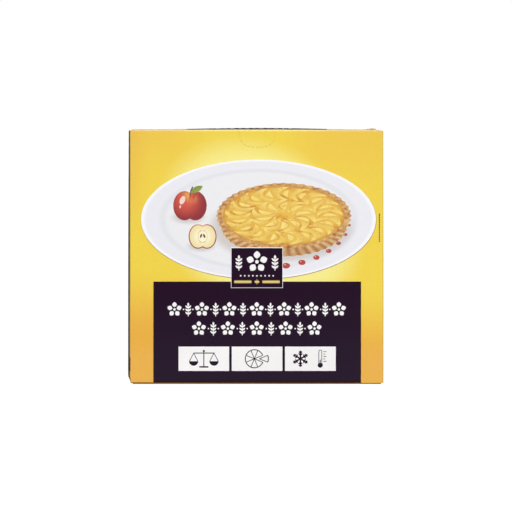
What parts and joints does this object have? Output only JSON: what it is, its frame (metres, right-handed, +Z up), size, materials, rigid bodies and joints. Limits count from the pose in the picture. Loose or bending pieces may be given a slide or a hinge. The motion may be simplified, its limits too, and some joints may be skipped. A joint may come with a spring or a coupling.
{
  "type": "frozen tart carton",
  "caption": "Shut upright square folding carton for a frozen apple tart, with glued top and bottom flaps and a press-in opening tab.",
  "frame": {"origin": "middle of the carton's base, on the surface it stands on", "axes": "+Z up, the printed front panel faces -Y, +X to the right seen from the front"},
  "size_m": [0.2818, 0.0424, 0.2827],
  "materials": {
    "printed_board": "yellow-printed folding boxboard with a semi-gloss varnish",
    "dark_print": "solid dark aubergine print under a semi-gloss varnish",
    "white_print": "bare white board under a semi-gloss varnish",
    "picture_print": "printed picture colours under a semi-gloss varnish",
    "board_edge": "raw cut edge of white-lined board, matt and fibrous"
  },
  "bodies": {
    "root": {"carton": "printed_board"}
  },
  "joints": []
}
